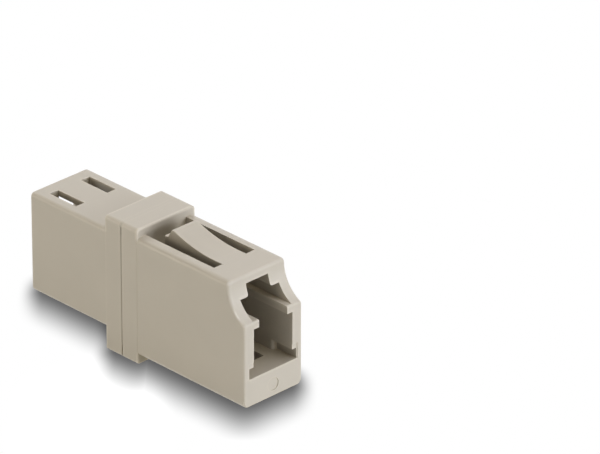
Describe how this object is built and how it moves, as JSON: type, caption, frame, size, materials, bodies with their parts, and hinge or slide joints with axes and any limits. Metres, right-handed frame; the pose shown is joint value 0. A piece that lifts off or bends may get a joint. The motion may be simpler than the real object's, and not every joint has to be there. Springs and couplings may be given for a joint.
{
  "type": "fibre optic adapter",
  "caption": "Panel-mount LC to LC fibre adapter in beige plastic, with a sprung panel latch, a finger scoop and a ceramic alignment sleeve inside.",
  "frame": {"origin": "optical datum: the middle of the alignment sleeve, on the weld plane between the two housings", "axes": "+Y along the optical axis out of the rear (narrow) port, -Y out of the front port, +Z towards the panel latch, X across the width"},
  "size_m": [0.0068, 0.0268, 0.0132],
  "materials": {
    "housing": "satin moulded beige PBT",
    "holder": "satin moulded beige PBT",
    "sleeve": "ground white zirconia"
  },
  "bodies": {
    "housing": {"front_housing": "housing", "rear_housing": "housing", "front_sleeve_holder": "holder", "rear_sleeve_holder": "holder", "split_sleeve": "sleeve"},
    "latch": {"panel_latch": "housing"}
  },
  "joints": [
    {"name": "latch_flex", "type": "hinge", "parent": "housing", "child": "latch", "pos_m": [0, -0.01045, 0.00607], "axis": [-1, 0, 0], "range_deg": [0, 9], "stiffness_Nm_per_rad": 0.01}
  ]
}
